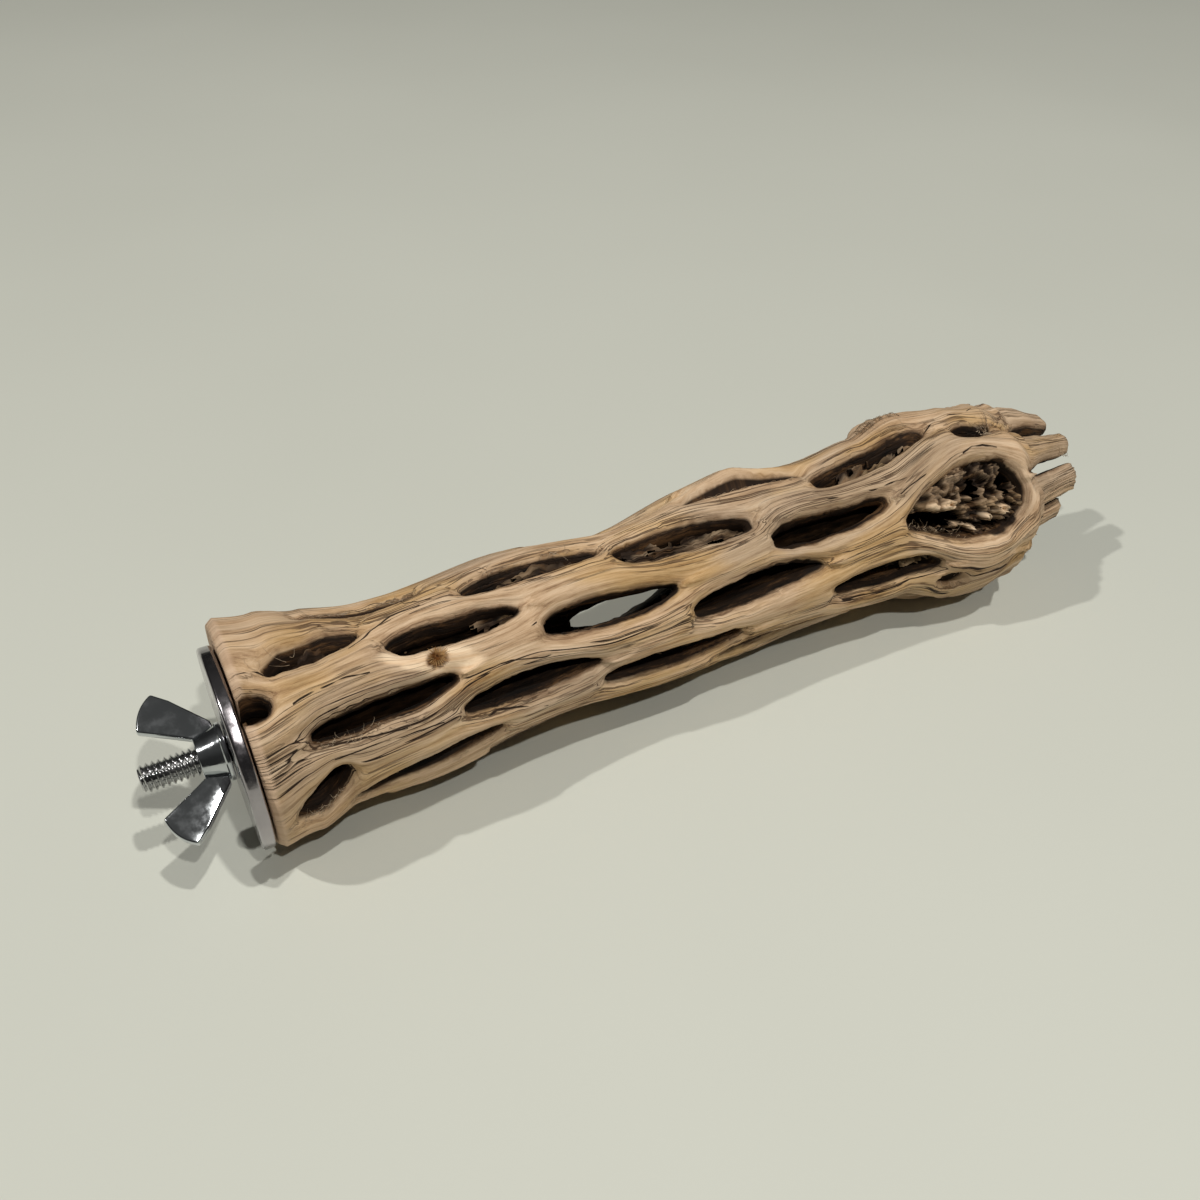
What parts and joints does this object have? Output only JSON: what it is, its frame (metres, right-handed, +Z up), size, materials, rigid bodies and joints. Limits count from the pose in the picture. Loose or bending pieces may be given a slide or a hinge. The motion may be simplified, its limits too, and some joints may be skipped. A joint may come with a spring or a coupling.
{
  "type": "cholla cactus skeleton perch",
  "caption": "Hollow net-like cactus wood branch lying on its side, with a threaded stud, broad washer and wing nut at its sawn end for clamping it to bars as a perch.",
  "frame": {"origin": "middle of the whole perch's box, on the surface it lies on", "axes": "+X along the wood, away from the stud; +Z up; the side seen in the picture faces -Y"},
  "size_m": [0.2508, 0.0544, 0.0515],
  "materials": {
    "weathered_wood": "dry weathered wood with dark fibre cracks, brown inside the holes",
    "plug_wood": "plain sanded wood",
    "stud_steel": "bright rolled thread",
    "washer_steel": "polished stainless steel",
    "nut_chrome": "polished chrome plate"
  },
  "bodies": {
    "perch": {"trunk": "weathered_wood", "end_plug": "plug_wood", "stud": "stud_steel"},
    "clamp_washer": {"washer": "washer_steel"},
    "clamp_nut": {"wing_nut": "nut_chrome"}
  },
  "joints": [
    {"name": "washer_slide", "type": "slide", "parent": "perch", "child": "clamp_washer", "axis": [-1, 0, 0], "range_m": [0, 0.01143]},
    {"name": "nut_turn", "type": "hinge", "parent": "clamp_washer", "child": "clamp_nut", "pos_m": [-0.11, -0.00327, 0.0254], "axis": [-1, 0, 0], "range_deg": [0, 3240]}
  ],
  "couplings": [
    {"joint": "nut_turn", "follows": "washer_slide", "rad_per_m": 4947.4}
  ]
}
